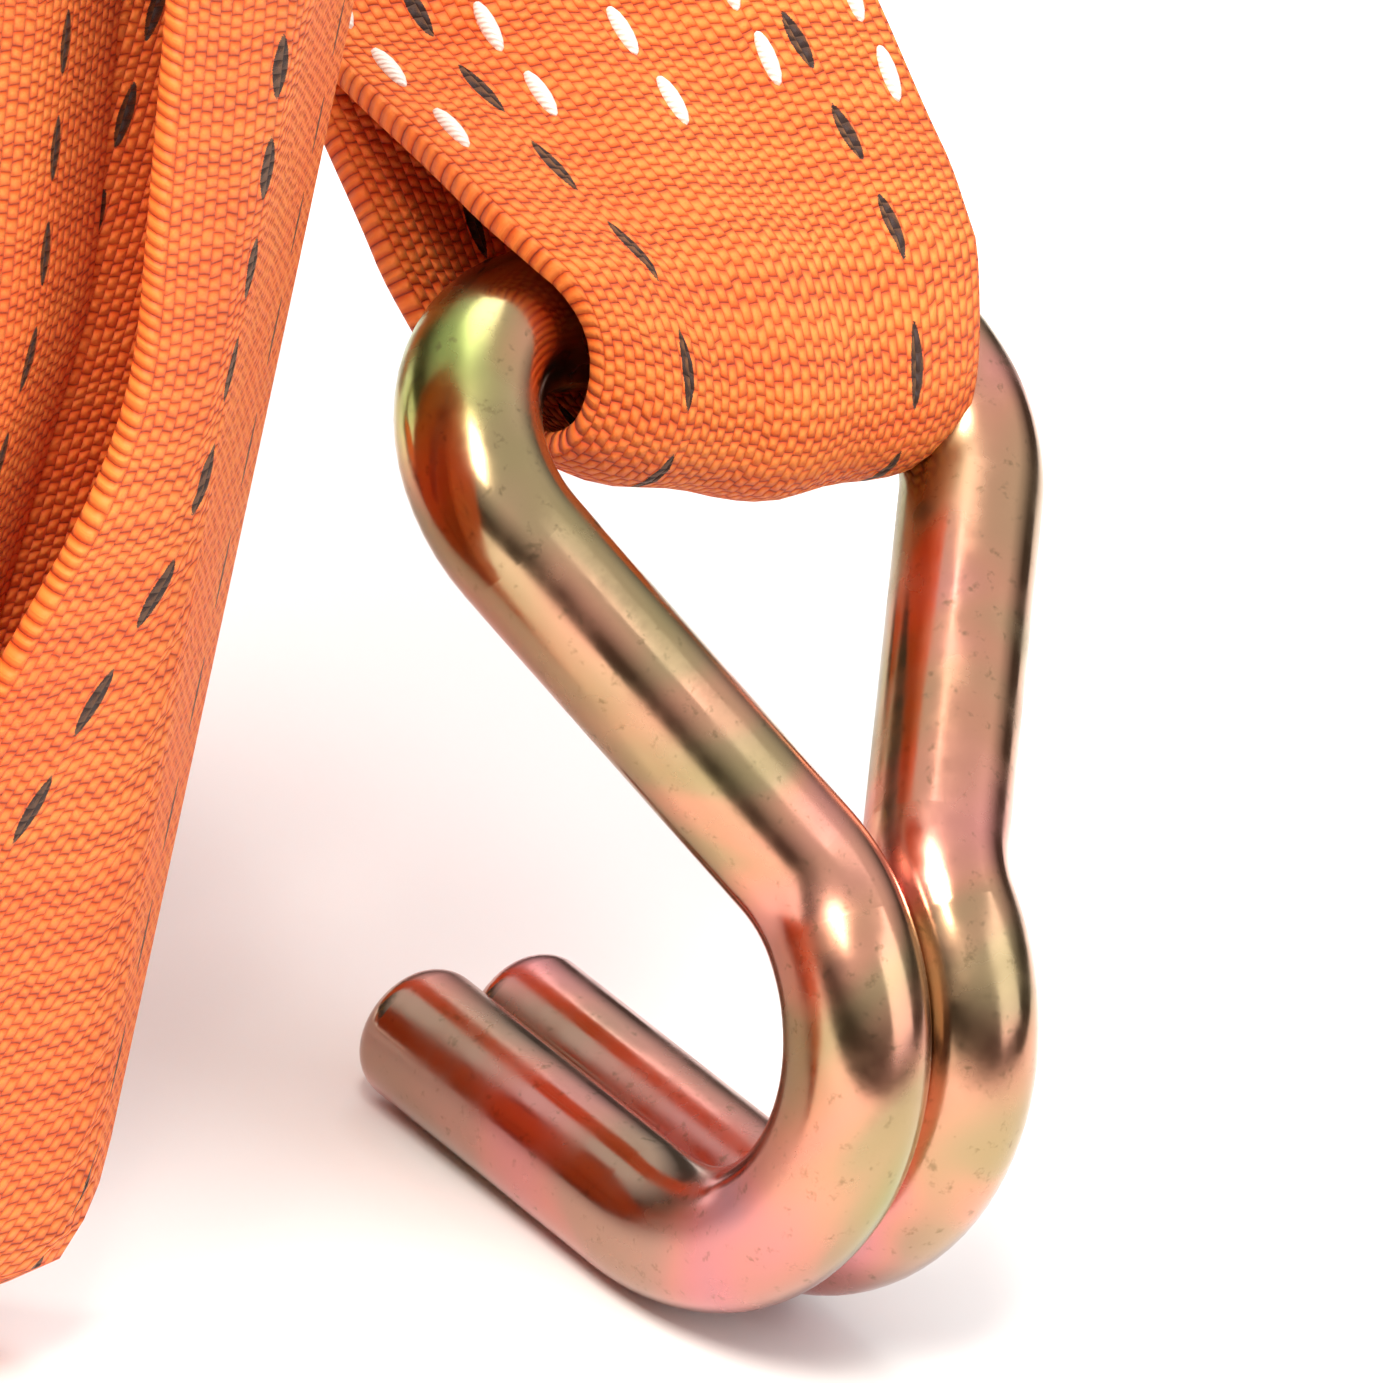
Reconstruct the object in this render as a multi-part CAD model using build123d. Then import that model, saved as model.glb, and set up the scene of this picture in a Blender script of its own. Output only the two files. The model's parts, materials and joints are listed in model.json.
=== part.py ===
from build123d import *
import math
import os

# ---------------------------------------------------------------- driving dimensions, in millimetres
WEB_WIDTH = 50.0            # polyester webbing
WEB_THICK = 2.6
WIRE = 11.5                 # hook wire diameter
LOOP_CLEAR = 1.6            # webbing loop to bar, so the rounded eye corners can turn inside it
LOOP_FOOT_WIDTH = 36.0      # the loop narrows inside the rounded eye
LOOP_LENGTH = 25.0          # bar centre to the first row of stitches

# hook, in its own frame: x along the bar, z from the throat up to the bar, y to the tips
EYE_HALF = 35.4             # to the sharp corner, before rounding
EYE_HEIGHT = 49.0
EYE_CORNER_R = 12.1
NECK_HALF = 5.85            # half the spacing of the two wires
NECK_R = 12.0
THROAT_R = 17.5
THROAT_TURN = 141.7         # degrees
TIP_RUN = 29.9
TIP_ROUND = 2.5

# where the short strap's hook stands: on its throat and tips, eye leaning back
HOOK_LEAN = 38.4            # degrees from the floor to the legs
NECK_TURN = math.atan2(EYE_HALF - NECK_HALF, EYE_HEIGHT)
THROAT_DEPTH = EYE_HEIGHT + NECK_R * math.tan(NECK_TURN / 2) + 0.2
BAR_Y = 29.0
BAR_Z = (
    THROAT_DEPTH * math.sin(math.radians(HOOK_LEAN))
    + THROAT_R * (1 + math.cos(math.radians(HOOK_LEAN)))
    + WIRE / 2
)

# ratchet
MANDREL_Y, MANDREL_Z = 350.0, 28.0
MANDREL_R = 8.5
SLOT_WIDTH = 4.6
MANDREL_HALF = 48.0
COTTER_X = 43.5
RUNNING = 0.05              # radial running clearance
FRAME_INNER = 53.6          # between the frame's flanges
SHEET = 3.0
WHEEL_X, WHEEL_THICK = 30.6, 4.0
WHEEL_TIP_R, WHEEL_ROOT_R, TEETH = 23.0, 18.5, 12
HANDLE_X, HANDLE_SHEET = 35.4, 2.5
CAM_R = 24.4
BOLT_BACK = 92.0            # mandrel to fixed bolt
BOLT_Z, BOLT_R = 15.0, 5.0
SLEEVE_R = 7.0
GRIP_BACK, GRIP_RISE = 124.0, 22.0
GRIP_R = 10.0
PAWL_THICK = 3.6
SPRING_REST = 78.0          # mandrel to the tab behind the lock pawl's spring
PAWL_ANGLE = 150.0          # drive pawl about the mandrel, handle closed
RIVET_R = 3.0
BOLT_HEX_R, BOLT_HEAD, NUT_THICK, WASHER_THICK = 8.5, 6.4, 6.5, 1.5
BRIDGE_OUT = 60.0           # mandrel to the handle's cross plate
CORE_R = 7.0                # tube inside the grip
LOCK_SLOT_OUT, LOCK_SLOT_LONG = 35.5, 36.0
LOCK_TIP_OUT = 19.4         # mandrel to the lock pawl's tip
SPRING_START = 43.6
DRIVE_SPRING_FROM, DRIVE_SPRING_TO = 41.2, 58.4

# long strap, wound upright beside the short strap's hook
HANK_X, HANK_Y, HANK_Z = -102.0, 42.0, 86.0
HANK_DEPTH, HANK_HEIGHT = 84.0, 172.0
HANK_TOP_R, HANK_FOOT_R = 40.0, 14.0
LONG_BAR_Y = 186.0
LONG_BAR_Z = WIRE / 2 + LOOP_CLEAR + WEB_THICK + 0.4

parts = {}


def along_x(face_yz, x_low, x_high):
    """A face drawn in Y and Z, made solid from x_low to x_high."""
    return extrude(Plane.YZ.offset(x_low) * face_yz, x_high - x_low)


def cylinder_x(y, z, radius, x_low, x_high):
    return along_x(Pos(y, z) * Circle(radius), x_low, x_high)


def strip(points, radii, thickness, width, x_mid):
    """Webbing along straight runs and arcs in the YZ plane."""
    path = FilletPolyline(*[(x_mid, y, z) for y, z in points], radius=radii)
    start = path @ 0
    section = Plane(origin=start, x_dir=(1, 0, 0), z_dir=path % 0) * Rectangle(width, thickness)
    return sweep(section, path=path)


# ---------------------------------------------------------------- hooks
def wire_half(side):
    """One wire: half the bar, a leg of the eye, the neck, the throat and a tip."""
    eye = FilletPolyline(
        (0, 0, 0),
        (side * EYE_HALF, 0, 0),
        (side * NECK_HALF, 0, -EYE_HEIGHT),
        (side * NECK_HALF, 0, -THROAT_DEPTH),
        radius=[EYE_CORNER_R, NECK_R],
    )
    throat_plane = Plane(
        origin=(side * NECK_HALF, THROAT_R, -THROAT_DEPTH), x_dir=(0, -1, 0), z_dir=(1, 0, 0)
    )
    throat = throat_plane * CenterArc((0, 0), THROAT_R, 0, THROAT_TURN)
    tip = Line(throat @ 1, throat @ 1 + (throat % 1) * TIP_RUN)
    path = Wire(eye.edges() + throat.edges() + tip.edges())
    section = Plane(origin=(0, 0, 0), z_dir=(side, 0, 0)) * Circle(WIRE / 2)
    solid = sweep(section, path=path)
    end = solid.faces().sort_by_distance(tip @ 1)[0]
    return fillet(end.edges(), TIP_ROUND)


def hook():
    return wire_half(-1) + wire_half(1)


# ---------------------------------------------------------------- webbing
def bar_loop():
    """Sewn loop round a hook's bar, in the hook's frame; it leaves along +z."""
    inner_r = WIRE / 2 + LOOP_CLEAR
    outer_r = inner_r + WEB_THICK
    def teardrop(radius, half_end):
        angle = math.asin((radius - half_end) / LOOP_LENGTH)
        y, z = radius * math.cos(angle), radius * math.sin(angle)
        outline = Polyline((y, z), (half_end, LOOP_LENGTH), (-half_end, LOOP_LENGTH), (-y, z))
        foot = ThreePointArc((-y, z), (0, -radius), (y, z))
        return make_face(Wire(outline.edges() + foot.edges()))
    band = extrude(Plane.YZ * teardrop(outer_r, WEB_THICK), WEB_WIDTH / 2, both=True)
    band -= extrude(Plane.YZ * teardrop(inner_r, 0.02), WEB_WIDTH / 2, both=True)
    half, foot = WEB_WIDTH / 2, LOOP_FOOT_WIDTH / 2
    plan = Polyline(
        (-foot, -20), (foot, -20), (foot, 7), (half, 20), (half, 60), (-half, 60), (-half, 20),
        (-foot, 7), close=True,
    )
    return band & extrude(Plane.XZ * make_face(plan), 30, both=True)


def short_strap():
    """Fixed end: loop on the hook's bar, a free arch, loop on the ratchet's bolt."""
    lean = math.radians(HOOK_LEAN)
    along = (math.cos(lean), math.sin(lean))
    def beyond(distance):
        return (BAR_Y + along[0] * distance, BAR_Z + along[1] * distance)
    bolt_y = MANDREL_Y - BOLT_BACK
    route = [beyond(LOOP_LENGTH), beyond(84), (170, 50), (206, 17), (bolt_y - 19, BOLT_Z)]
    arch = strip(route, [44, 46, 40], 2 * WEB_THICK, WEB_WIDTH, 0)
    sleeve_r = SLEEVE_R + 0.15
    loop = Circle(sleeve_r + WEB_THICK) + Pos(-11, 0) * Rectangle(22, 2 * WEB_THICK)
    tail = along_x(Pos(bolt_y, BOLT_Z) * (loop - Circle(sleeve_r)), -WEB_WIDTH / 2, WEB_WIDTH / 2)
    lap = along_x(
        Pos(bolt_y - 16, BOLT_Z) * Rectangle(10, 2 * WEB_THICK), -WEB_WIDTH / 2, WEB_WIDTH / 2
    )
    return hook_place(0, BAR_Y, BAR_Z, HOOK_LEAN) * bar_loop() + arch + tail + lap


def hook_place(x, y, z, lean):
    """Hook frame to model frame: the legs rise by lean degrees towards +Y."""
    rise = math.radians(lean)
    return Location(
        Plane(origin=(x, y, z), x_dir=(1, 0, 0), z_dir=(0, math.cos(rise), math.sin(rise)))
    )


def hank():
    """Outer shape of the wound strap: flat where it stands, round on top."""
    outline = Rectangle(HANK_DEPTH, HANK_HEIGHT)
    corners = outline.vertices().sort_by(Axis.Y)
    outline = fillet(corners[2:], HANK_TOP_R)
    outline = fillet(outline.vertices().sort_by(Axis.Y)[:2], HANK_FOOT_R)
    half = WEB_WIDTH / 2
    return along_x(Pos(HANK_Y, HANK_Z) * outline, HANK_X - half, HANK_X + half)


def long_tail():
    """From the back of the wound strap, down to the floor and to its own hook."""
    back = HANK_Y + HANK_DEPTH / 2
    lap_z = LONG_BAR_Z
    route = [
        (back + WEB_THICK, 92), (back + WEB_THICK, 26), (back + 20, lap_z),
        (LONG_BAR_Y - LOOP_LENGTH, lap_z),
    ]
    run = strip(route, [22, 22], 2 * WEB_THICK, WEB_WIDTH, HANK_X)
    return run + long_hook_place() * bar_loop()


def long_hook_place():
    """Lying on its back: the bar towards -Y, tips up."""
    return Location(
        Plane(origin=(HANK_X, LONG_BAR_Y, LONG_BAR_Z), x_dir=(1, 0, 0), z_dir=(0, -1, -0.028))
    )


# ---------------------------------------------------------------- ratchet
def about_mandrel(radius, degrees):
    """A point in Y and Z at an angle from +Y about the mandrel."""
    a = math.radians(degrees)
    return (MANDREL_Y + radius * math.cos(a), MANDREL_Z + radius * math.sin(a))


def flange_outline():
    """Side of the frame: foot on the floor, cam round the mandrel, low nose at the bolt."""
    bolt_y = MANDREL_Y - BOLT_BACK
    floor_end = MANDREL_Y + 12
    side = Polyline(
        (bolt_y - 13, 5), (bolt_y - 8, 0), (floor_end, 0), (floor_end + 8, MANDREL_Z),
        (MANDREL_Y - 30, MANDREL_Z + 9), (bolt_y - 6, 29), (bolt_y - 13, 22), close=True,
    )
    cam = Pos(MANDREL_Y, MANDREL_Z) * Circle(CAM_R)
    drive_gap = Pos(MANDREL_Y, MANDREL_Z) * (
        make_face(
            Polyline(
                (0, 0), *[(40 * math.cos(math.radians(a)), 40 * math.sin(math.radians(a)))
                          for a in range(20, 131, 10)], close=True,
            )
        )
        - Circle(16.5)
    )
    return make_face(side) + cam - drive_gap


def frame():
    """One folded channel: two flanges, a base web and a rest for the lock spring."""
    half = FRAME_INNER / 2
    outline = flange_outline()
    body = along_x(outline, -half - SHEET, -half) + along_x(outline, half, half + SHEET)
    web_y = MANDREL_Y - 64
    web = Pos(web_y, SHEET / 2) * Rectangle(44, SHEET)
    rest = Pos(MANDREL_Y - SPRING_REST, MANDREL_Z / 2 + 3) * Rectangle(SHEET, MANDREL_Z + 6)
    body += along_x(web, -half, half)
    body += along_x(rest, -12, 12)
    bore = MANDREL_R + RUNNING
    body -= cylinder_x(MANDREL_Y, MANDREL_Z, bore, -50, 50)
    body -= cylinder_x(MANDREL_Y - BOLT_BACK, BOLT_Z, BOLT_R + RUNNING, -50, 50)
    slot = Pos(MANDREL_Y - LOCK_SLOT_OUT, MANDREL_Z) * Rectangle(LOCK_SLOT_LONG, PAWL_THICK + 0.3)
    body -= along_x(slot, -50, 50)
    guide = Pos(MANDREL_Y - SPRING_REST, MANDREL_Z) * Circle(3.4)
    return body - along_x(guide, -8, 8)


def wheel(x_low):
    """Ratchet wheel with flat-rooted saw teeth and two half-round holes."""
    pitch = 360 / TEETH
    outline = []
    for tooth in range(TEETH):
        for offset, radius in ((-7, WHEEL_ROOT_R), (7, WHEEL_ROOT_R), (7, WHEEL_TIP_R), (13, WHEEL_TIP_R)):
            outline.append(about_mandrel(radius, tooth * pitch + offset))
    disc = make_face(Polyline(*outline, close=True))
    hole = Circle(MANDREL_R + RUNNING) - Rectangle(40, SLOT_WIDTH - 2 * RUNNING)
    return along_x(disc - Pos(MANDREL_Y, MANDREL_Z) * hole, x_low, x_low + WHEEL_THICK)


def mandrel_half(side):
    """Half-round bar; the two leave a slot for the webbing and stop short of the cotter holes."""
    bar = Circle(MANDREL_R) - Pos(0, -side * 20 + side * SLOT_WIDTH / 2) * Rectangle(40, 40)
    solid = along_x(Pos(MANDREL_Y, MANDREL_Z) * bar, -MANDREL_HALF, MANDREL_HALF)
    for x in (-COTTER_X, COTTER_X):
        hole = Pos(x, MANDREL_Y, MANDREL_Z) * Cylinder(1.7, 40)
        solid -= hole
    return solid


def cotter(x):
    """Split pin: two legs through both halves of the mandrel and a round eye."""
    pin = Pos(x, MANDREL_Y, MANDREL_Z - 0.5) * Cylinder(1.5, 23)
    eye = Pos(x, MANDREL_Y, MANDREL_Z + 12.6) * Rot(0, 90, 0) * Torus(2.6, 1.3)
    return pin + eye


def handle_plate(side):
    """Stamped side plate of the handle, with the slot that the drive pawl slides in."""
    grip = (MANDREL_Y - GRIP_BACK, MANDREL_Z + GRIP_RISE)
    crown = about_mandrel(46, PAWL_ANGLE)
    outline = Polyline(
        about_mandrel(15, 60), about_mandrel(44, 128), (crown[0] - 4, crown[1] + 12),
        (grip[0], grip[1] + 12), (grip[0] - 12, grip[1]), (grip[0], grip[1] - 9),
        (MANDREL_Y - 56, MANDREL_Z + 8), about_mandrel(15, 205), close=True,
    )
    plate = make_face(outline) + Pos(MANDREL_Y, MANDREL_Z) * Circle(15)
    plate -= Pos(MANDREL_Y, MANDREL_Z) * Circle(MANDREL_R + RUNNING)
    pawl_mid = about_mandrel(35.5, PAWL_ANGLE)
    plate -= Pos(*pawl_mid) * Rot(0, 0, PAWL_ANGLE) * Rectangle(25, PAWL_THICK + 0.3)
    plate -= Pos(*grip) * Circle(RIVET_R + RUNNING)
    low = HANDLE_X if side > 0 else -HANDLE_X - HANDLE_SHEET
    return along_x(plate, low, low + HANDLE_SHEET)


def pawl_frame(face_radial, x_low, x_high):
    """A face drawn as (radial, across) about the drive pawl's line, made solid along X."""
    placed = Pos(MANDREL_Y, MANDREL_Z) * Rot(0, 0, PAWL_ANGLE) * face_radial
    return along_x(placed, x_low, x_high)


def drive_pawl():
    """Flat pawl across both wheels, a narrow tongue for the spring and a finger bar."""
    blade = pawl_frame(Pos(30.8, 0) * Rectangle(12, PAWL_THICK), -39.5, 39.5)
    tongue = pawl_frame(Pos(47, 0) * Rectangle(22, PAWL_THICK), -4.5, 4.5)
    finger = pawl_frame(Pos(38.8, 5) * Rectangle(4, 13.6), -24, 24)
    return blade + tongue + finger


def spring_tube(outer, inner, face_place, low, high):
    """Envelope of a coil spring along a pawl's tongue."""
    return face_place * Pos(0, 0, low) * extrude(Circle(outer) - Circle(inner), high - low)


def bridge_plate():
    """Cross plate of the handle that the drive spring pushes against."""
    plate = pawl_frame(Pos(BRIDGE_OUT, 0) * Rectangle(SHEET, 15), -HANDLE_X + 0.05, HANDLE_X - 0.05)
    return plate - pawl_frame(Pos(BRIDGE_OUT, 0) * Rectangle(8, PAWL_THICK + 0.6), -5, 5)


def lock_pawl():
    """Flat pawl through both flanges, with a tongue that guides its spring."""
    tip = MANDREL_Y - LOCK_TIP_OUT
    blade = along_x(Pos(tip - 12, MANDREL_Z) * Rectangle(24, PAWL_THICK), -34.8, 34.8)
    tongue = along_x(Pos(tip - 43, MANDREL_Z) * Rectangle(40, PAWL_THICK), -2.4, 2.4)
    return blade + tongue


def ratchet():
    half = FRAME_INNER / 2
    bolt_y = MANDREL_Y - BOLT_BACK
    parts["frame_channel"] = frame()
    outer = half + SHEET
    hexagon = Pos(bolt_y, BOLT_Z) * RegularPolygon(BOLT_HEX_R, 6)
    head = extrude(Plane.YZ.offset(-outer - BOLT_HEAD) * hexagon, BOLT_HEAD)
    parts["fixed_bolt"] = head + cylinder_x(bolt_y, BOLT_Z, BOLT_R, -outer, outer + 8.5)
    nut = extrude(Plane.YZ.offset(outer + WASHER_THICK) * hexagon, NUT_THICK)
    parts["fixed_bolt_nut"] = nut - cylinder_x(bolt_y, BOLT_Z, BOLT_R, 0, 60)
    washer = Pos(bolt_y, BOLT_Z) * (Circle(9.5) - Circle(BOLT_R + 0.2))
    parts["fixed_bolt_washer"] = along_x(washer, outer, outer + WASHER_THICK)
    tube = Pos(bolt_y, BOLT_Z) * (Circle(SLEEVE_R) - Circle(BOLT_R + 0.2))
    parts["fixed_bolt_sleeve"] = along_x(tube, -half + 0.1, half - 0.1)
    parts["mandrel_upper_half"] = mandrel_half(1)
    parts["mandrel_lower_half"] = mandrel_half(-1)
    parts["ratchet_wheel_left"] = wheel(-WHEEL_X - WHEEL_THICK)
    parts["ratchet_wheel_right"] = wheel(WHEEL_X)
    ring = Pos(MANDREL_Y, MANDREL_Z) * (Circle(13) - Circle(MANDREL_R + RUNNING))
    washers = [along_x(ring, low, low + 1.6) for low in (-40.2, 38.6)]
    parts["mandrel_washers"] = Compound(washers)
    parts["cotter_pins"] = Compound([cotter(-COTTER_X), cotter(COTTER_X)])
    grip_at = (MANDREL_Y - GRIP_BACK, MANDREL_Z + GRIP_RISE)
    for side, word in ((-1, "left"), (1, "right")):
        parts["handle_plate_" + word] = handle_plate(side)
    core = Pos(*grip_at) * (Circle(CORE_R) - Circle(RIVET_R + 0.2))
    parts["handle_cross_tube"] = along_x(core, -HANDLE_X + 0.05, HANDLE_X - 0.05)
    sleeve = along_x(Pos(*grip_at) * (Circle(GRIP_R) - Circle(CORE_R + 0.1)), -HANDLE_X + 0.3, HANDLE_X - 0.3)
    for step in range(-5, 6):
        x = step * 6.0
        groove = Pos(*grip_at) * (Circle(GRIP_R + 1) - Circle(GRIP_R - 0.7))
        sleeve -= along_x(groove, x - 0.9, x + 0.9)
    parts["handle_grip"] = sleeve
    end = HANDLE_X + HANDLE_SHEET
    rod = cylinder_x(*grip_at, RIVET_R, -end - 1.8, end + 1.8)
    for low in (-end - 1.8, end):
        rod += cylinder_x(*grip_at, 5.4, low, low + 1.8)
    parts["handle_rivet"] = rod
    parts["handle_bridge"] = bridge_plate()
    parts["drive_pawl"] = drive_pawl()
    parts["lock_pawl"] = lock_pawl()
    radial = Location(
        Plane(
            origin=(0, MANDREL_Y, MANDREL_Z), x_dir=(1, 0, 0),
            z_dir=(0, math.cos(math.radians(PAWL_ANGLE)), math.sin(math.radians(PAWL_ANGLE))),
        )
    )
    parts["drive_pawl_spring"] = spring_tube(
        7.4, 5.6, radial, DRIVE_SPRING_FROM, DRIVE_SPRING_TO
    )
    back = Location(Plane(origin=(0, MANDREL_Y, MANDREL_Z), x_dir=(1, 0, 0), z_dir=(0, -1, 0)))
    parts["lock_pawl_spring"] = spring_tube(
        5.2, 3.6, back, SPRING_START, SPRING_REST - SHEET / 2 - 0.1
    )


def straps():
    place = hook_place(0, BAR_Y, BAR_Z, HOOK_LEAN)
    parts["short_strap_hook"] = place * hook()
    parts["short_strap"] = short_strap()
    parts["long_strap_wound"] = hank()
    parts["long_strap_end"] = long_tail()
    parts["long_strap_hook"] = long_hook_place() * hook()


ratchet()
straps()

# stand the whole on Z = 0, centred in X and Y
whole = Compound([solid for part in parts.values() for solid in part.solids()]).bounding_box()
centre = whole.center()
ORIGIN_SHIFT = Vector(-centre.X, -centre.Y, -whole.min.Z)

os.makedirs("parts", exist_ok=True)
for name, part in parts.items():
    parts[name] = Pos(*ORIGIN_SHIFT) * part
    export_step(parts[name], "parts/" + name + ".step")
print("origin shift", ORIGIN_SHIFT, "size", whole.size)
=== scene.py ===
# %% [markdown]
# # A ratchet strap, one piece at a time
# The imported model gives every part its place. This lesson adds what the eye expects: woven webbing,
# stitching, coil springs, and the finish of plated and hardened steel. The stitching rides on an empty
# named for a body of the model.

# %% The frame
import bisect
import itertools
import json
import math

import bmesh
import bpy
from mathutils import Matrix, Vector


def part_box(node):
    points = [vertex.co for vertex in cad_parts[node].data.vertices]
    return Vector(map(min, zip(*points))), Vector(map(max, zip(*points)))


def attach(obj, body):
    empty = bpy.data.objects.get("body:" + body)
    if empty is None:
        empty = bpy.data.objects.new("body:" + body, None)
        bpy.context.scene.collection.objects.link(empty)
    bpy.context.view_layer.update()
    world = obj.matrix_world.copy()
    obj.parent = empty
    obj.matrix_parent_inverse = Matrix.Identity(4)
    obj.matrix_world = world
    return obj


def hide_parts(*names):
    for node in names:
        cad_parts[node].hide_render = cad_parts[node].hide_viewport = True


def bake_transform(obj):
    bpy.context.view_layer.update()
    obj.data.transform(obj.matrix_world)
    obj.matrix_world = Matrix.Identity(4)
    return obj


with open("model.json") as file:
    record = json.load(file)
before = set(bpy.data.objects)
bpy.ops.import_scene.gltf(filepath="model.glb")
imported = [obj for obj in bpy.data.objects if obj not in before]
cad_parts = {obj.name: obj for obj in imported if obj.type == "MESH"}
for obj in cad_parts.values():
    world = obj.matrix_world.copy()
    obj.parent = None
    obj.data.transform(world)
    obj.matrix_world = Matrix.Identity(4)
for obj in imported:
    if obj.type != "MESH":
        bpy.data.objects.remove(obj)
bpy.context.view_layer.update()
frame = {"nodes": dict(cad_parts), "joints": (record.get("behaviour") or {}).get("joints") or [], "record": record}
joints = {joint["name"]: joint for joint in frame["joints"]}
MM = 0.001

# %% [markdown]
# ## Places that the rest is built from
# The bar of each hook is the axis it swings on, and the bolt is the middle of its sleeve. The short
# strap's hook stands on its throat and tips, with its eye leaning back.

# %% Places
short_bar = Vector(joints["short_hook_swing"]["pos_m"]) / MM
long_bar = Vector(joints["long_hook_swing"]["pos_m"]) / MM
mandrel = Vector(joints["mandrel_spin"]["pos_m"]) / MM


def middle(node):
    low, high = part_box(node)
    return (low + high) / 2 / MM


bolt = middle("fixed_bolt_sleeve")
hank_low, hank_high = (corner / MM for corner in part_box("long_strap_wound"))
LEAN = math.radians(38.4)
WEB_WIDTH, WEB_THICK = 50.0, 2.3
LAYER = 1.35                 # half the distance between two sewn layers
along_strap = Vector((0, math.cos(LEAN), math.sin(LEAN)))
front_side = Vector((0, -math.sin(LEAN), math.cos(LEAN)))
print("bars", short_bar, long_bar, "bolt", bolt)

# %% [markdown]
# ## Camera
# A long lens from the front left, a little above the hook and rolled. The camera comes first,
# because it decides which details are worth making.

# %% Camera
VIEW_ELEVATION, VIEW_TURN, VIEW_ROLL = math.radians(22.5), math.radians(47.9), math.radians(17.3)
CAMERA_DISTANCE = 1150.0
back = Vector((
    -math.cos(VIEW_ELEVATION) * math.sin(VIEW_TURN),
    -math.cos(VIEW_ELEVATION) * math.cos(VIEW_TURN),
    math.sin(VIEW_ELEVATION),
))
level_right = Vector((0, 0, 1)).cross(back).normalized()
level_up = back.cross(level_right)
right = level_right * math.cos(VIEW_ROLL) + level_up * math.sin(VIEW_ROLL)
up = back.cross(right)
place = short_bar + back * CAMERA_DISTANCE
aim = short_bar - up * 30.1 + right * 1.45
camera_data = bpy.data.cameras.new("camera")
camera_data.lens = 382.0
camera_data.sensor_width = 36.0
camera_data.clip_end = 20
camera = bpy.data.objects.new("camera", camera_data)
axis_z = (place - aim).normalized()
axis_x = (right - axis_z * right.dot(axis_z)).normalized()
axis_y = axis_z.cross(axis_x)
turn = camera.matrix_world.to_3x3()
for row in range(3):
    turn[row] = (axis_x[row], axis_y[row], axis_z[row])
camera.matrix_world = turn.to_4x4()
camera.location = place * MM
bpy.context.scene.collection.objects.link(camera)
bpy.context.scene.camera = camera

# %% [markdown]
# ## Floor and light
# A plain pale floor, one large soft light from the left and above, a weaker one from the right, and
# a narrow one that draws the bright line along the wire.

# %% Floor and light
def linear(hex_colour):
    """An sRGB hex value as linear red, green, blue and alpha."""
    parts = [int(hex_colour[i:i + 2], 16) / 255 for i in (1, 3, 5)]
    return [c / 12.92 if c <= 0.04045 else ((c + 0.055) / 1.055) ** 2.4 for c in parts] + [1.0]


def add(tree, kind, settings=None, inputs=None):
    """One node, with its settings, and inputs that are values or other nodes' sockets."""
    node = tree.nodes.new(kind)
    for name, value in (settings or {}).items():
        setattr(node, name, value)
    for name, value in (inputs or {}).items():
        if isinstance(value, bpy.types.NodeSocket):
            tree.links.new(value, node.inputs[name])
        else:
            node.inputs[name].default_value = value
    return node


def material(name, roughness, metallic, base="#808080", **sockets):
    """A new material with a Principled shader; returns the material, its tree and its shader."""
    made = bpy.data.materials.new(name)
    made.use_nodes = True
    tree = made.node_tree
    shader = tree.nodes["Principled BSDF"]
    shader.inputs["Base Color"].default_value = linear(base)
    shader.inputs["Roughness"].default_value = roughness
    shader.inputs["Metallic"].default_value = metallic
    for socket, value in sockets.items():
        shader.inputs[socket.replace("_", " ")].default_value = value
    return made, tree, shader


floor_paint, _, _ = material("pale_studio_floor", 0.9, 0.0, "#f6f5f3")
bpy.ops.mesh.primitive_plane_add(size=12, location=(0, 0, -0.0005))
floor = bpy.context.object
floor.name = "studio_floor"
floor.data.materials.append(floor_paint)


def soft_light(name, spot, power, size, colour):
    lamp = bpy.data.lights.new(name, "AREA")
    lamp.energy, lamp.size, lamp.color = power, size, linear(colour)[:3]
    lamp_object = bpy.data.objects.new(name, lamp)
    lamp_object.location = spot
    lamp_object.rotation_euler = (-Vector(spot)).to_track_quat("-Z", "Y").to_euler()
    bpy.context.scene.collection.objects.link(lamp_object)


soft_light("key", (-1.1, -0.5, 1.5), 44, 0.7, "#fffaf2")
soft_light("fill", (0.9, -1.4, 0.9), 9, 1.2, "#f4f8ff")
soft_light("top", (0.2, 0.6, 1.8), 14, 1.0, "#ffffff")
world = bpy.data.worlds.new("studio")
world.use_nodes = True
# the room is bright overhead and dim at eye level, so that round wire shows light and dark streaks
looking = add(world.node_tree, "ShaderNodeTexCoord").outputs["Generated"]
upward = add(world.node_tree, "ShaderNodeSeparateXYZ", inputs={0: looking}).outputs[2]
room = add(world.node_tree, "ShaderNodeValToRGB", inputs={0: upward})
room.color_ramp.elements[0].position, room.color_ramp.elements[0].color = 0.25, linear("#57524c")
room.color_ramp.elements[1].position, room.color_ramp.elements[1].color = 0.62, linear("#ffffff")
world.node_tree.links.new(room.outputs[0], world.node_tree.nodes["Background"].inputs["Color"])
world.node_tree.nodes["Background"].inputs["Strength"].default_value = 1.0
bpy.context.scene.world = world
bpy.context.scene.view_settings.view_transform = "Standard"

# %% [markdown]
# ## Polyester webbing
# Ratchet webbing is a thick rib weave. Fine warp ribs run along it, and each goes over and under
# the weft, so the face shows rows of small slanted knuckles. Two dark tracer yarns run along it, each
# showing as dashes where it comes to the face. The pattern needs the distance across and along the
# strap, so every webbing piece carries them, in millimetres, in its UV map.

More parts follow.
